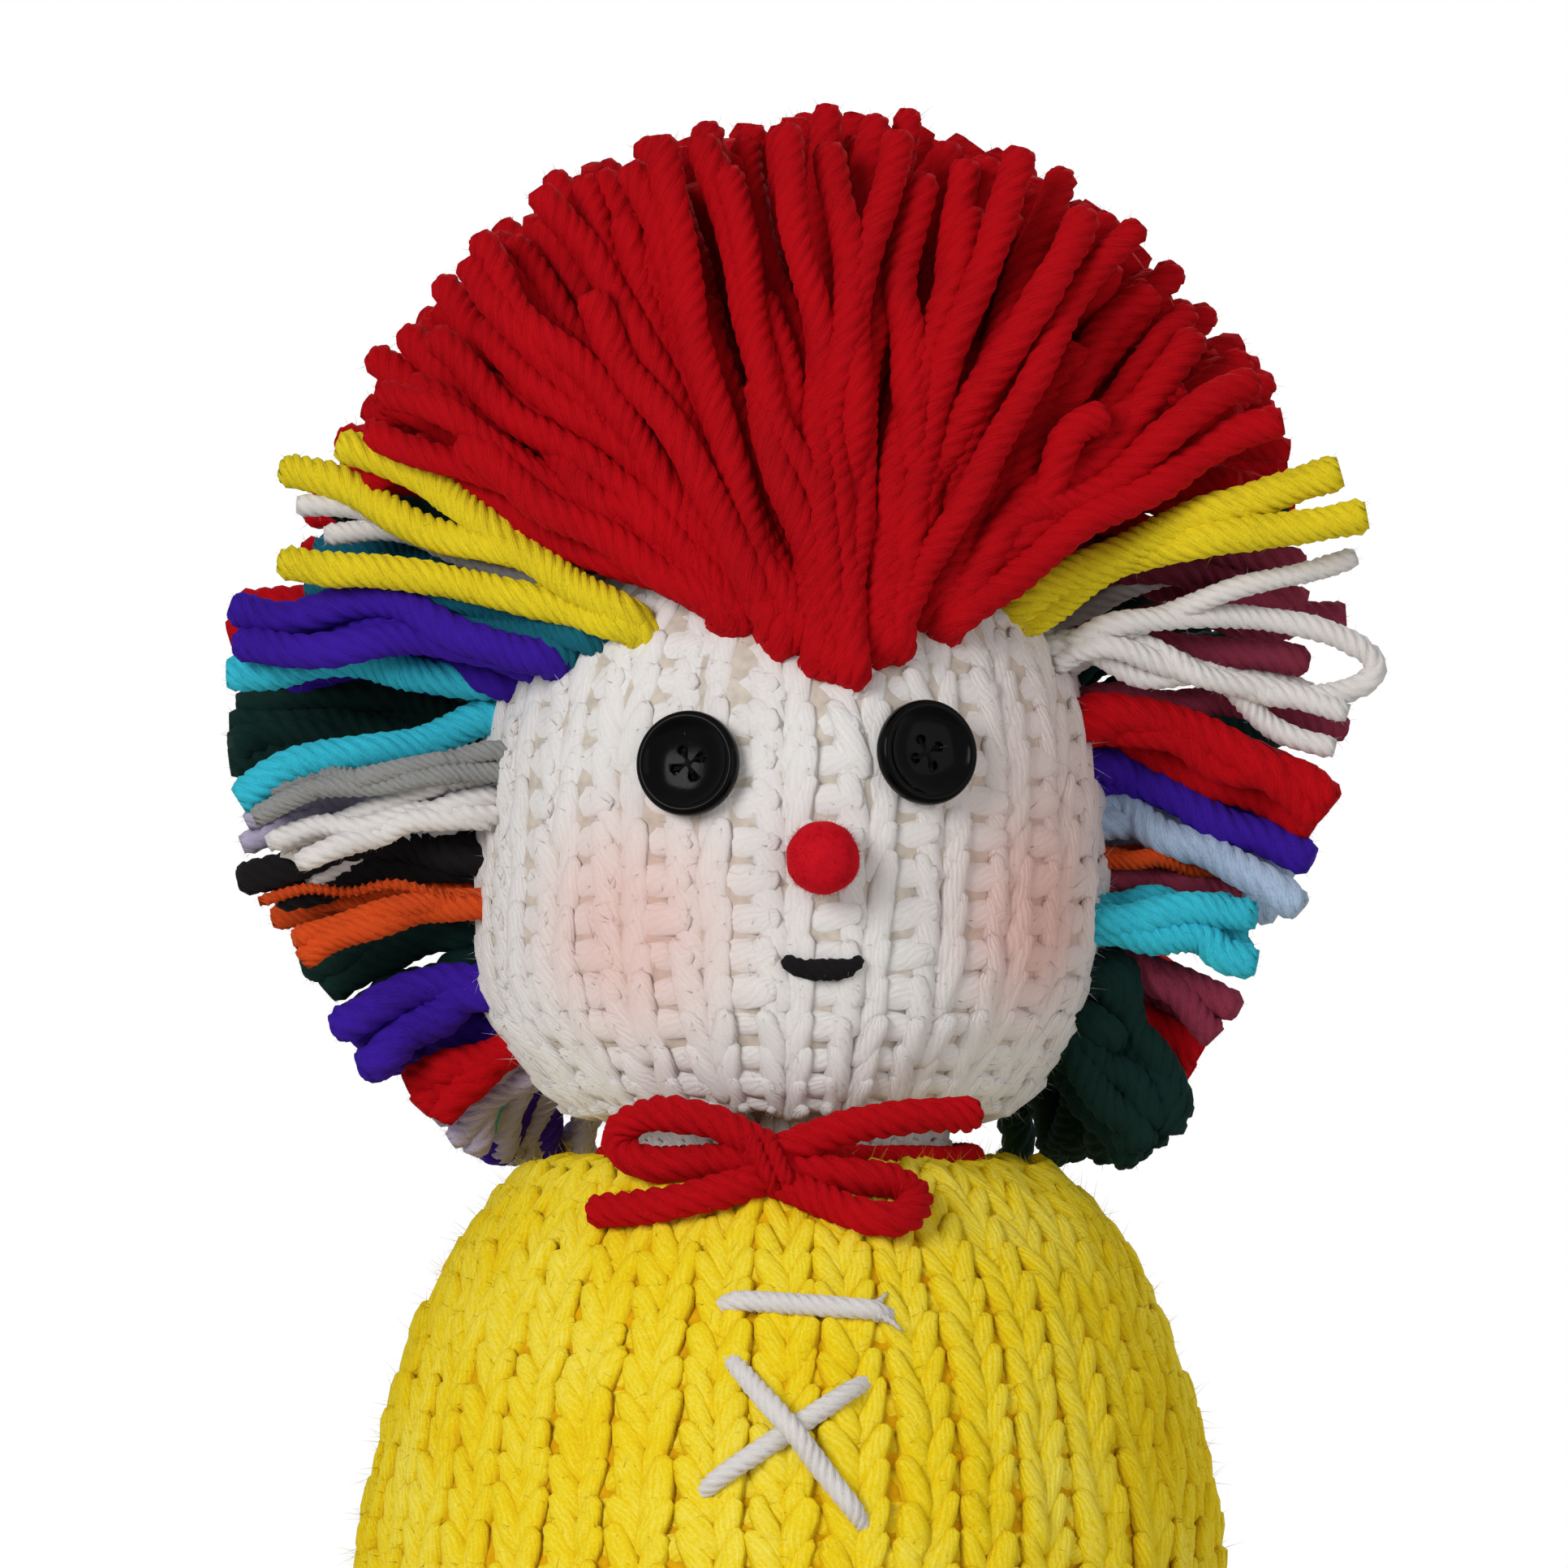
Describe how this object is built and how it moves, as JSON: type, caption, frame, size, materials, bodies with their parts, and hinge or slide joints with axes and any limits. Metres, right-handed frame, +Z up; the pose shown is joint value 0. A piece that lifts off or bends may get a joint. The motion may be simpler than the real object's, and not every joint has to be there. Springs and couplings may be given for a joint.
{
  "type": "knitted clown doll",
  "caption": "Stuffed knitted clown doll: yellow ribbed dome body, tied neck with a yarn bow, round white head with button eyes, pompom nose and a fan of coloured yarn hair.",
  "frame": {"origin": "centre of the flat base, on the surface that the doll stands on", "axes": "+Z up through the head, -Y the way the face looks, +X the right side in a front view"},
  "size_m": [0.1443, 0.11, 0.2404],
  "materials": {
    "knit_yellow": "matte",
    "knit_white": "matte",
    "stuffing": "matte",
    "card": "matte",
    "yarn_red": "matte",
    "yarn_yellow": "matte",
    "yarn_teal": "matte",
    "yarn_purple": "matte",
    "yarn_cyan": "matte",
    "yarn_green": "matte",
    "yarn_grey": "matte",
    "yarn_lilac": "matte",
    "yarn_white": "matte",
    "yarn_black": "matte",
    "yarn_orange": "matte",
    "yarn_blue": "matte",
    "yarn_maroon": "matte",
    "button_black": "gloss",
    "pompom_red": "matte"
  },
  "bodies": {
    "torso": {"body_cover": "knit_yellow", "base_panel": "knit_yellow", "base_stiffener": "card", "body_stuffing": "stuffing", "chest_bar_stitch": "yarn_white", "chest_cross_under": "yarn_white", "chest_cross_over": "yarn_white", "neck_tie": "yarn_red", "bow_knot": "yarn_red", "bow_loop_left": "yarn_red", "bow_tail_left": "yarn_red", "bow_loop_right": "yarn_red", "bow_tail_right": "yarn_red"},
    "neck_outer": {"neck_sleeve": "knit_white"},
    "neck_inner": {"neck_core": "stuffing"},
    "head": {"head_cover": "knit_white", "head_stuffing": "stuffing", "eye_button_left": "button_black", "eye_button_right": "button_black", "eye_thread_left": "yarn_black", "eye_thread_right": "yarn_black", "nose_pompom": "pompom_red", "mouth_stitch": "yarn_black", "hair_left_yellow": "yarn_yellow", "hair_left_teal": "yarn_teal", "hair_left_purple": "yarn_purple", "hair_left_cyan": "yarn_cyan", "hair_left_green": "yarn_green", "hair_left_grey": "yarn_grey", "hair_left_lilac": "yarn_lilac", "hair_left_white": "yarn_white", "hair_left_black": "yarn_black", "hair_left_orange": "yarn_orange", "hair_left_purple_low": "yarn_purple", "hair_left_red_low": "yarn_red", "hair_left_lilac_low": "yarn_lilac", "hair_right_yellow": "yarn_yellow", "hair_right_maroon": "yarn_maroon", "hair_right_white": "yarn_white", "hair_right_red": "yarn_red", "hair_right_purple": "yarn_purple", "hair_right_blue": "yarn_blue", "hair_right_orange": "yarn_orange", "hair_right_cyan": "yarn_cyan", "hair_right_maroon_low": "yarn_maroon", "hair_right_green_low": "yarn_green", "hair_back_top": "yarn_red", "hair_back_left": "yarn_purple", "hair_back_right": "yarn_green", "hair_back_middle": "yarn_teal", "hair_back_low_left": "yarn_cyan", "hair_back_low_right": "yarn_red", "hair_red_front_1": "yarn_red", "hair_red_front_2": "yarn_red", "hair_red_front_3": "yarn_red", "hair_red_front_4": "yarn_red", "hair_red_front_5": "yarn_red", "hair_red_crown_1": "yarn_red", "hair_red_crown_2": "yarn_red", "hair_red_crown_3": "yarn_red"}
  },
  "joints": [
    {"name": "head_tilt", "type": "hinge", "parent": "torso", "child": "neck_outer", "pos_m": [0, 0, 0.112], "axis": [0, 1, 0], "range_deg": [-6, 6], "stiffness_Nm_per_rad": 1},
    {"name": "head_nod", "type": "hinge", "parent": "neck_outer", "child": "neck_inner", "pos_m": [0, 0, 0.112], "axis": [1, 0, 0], "range_deg": [-6, 4], "stiffness_Nm_per_rad": 1},
    {"name": "head_turn", "type": "hinge", "parent": "neck_inner", "child": "head", "pos_m": [0, 0, 0.112], "axis": [0, 0, 1], "range_deg": [-25, 25], "stiffness_Nm_per_rad": 0.5}
  ]
}
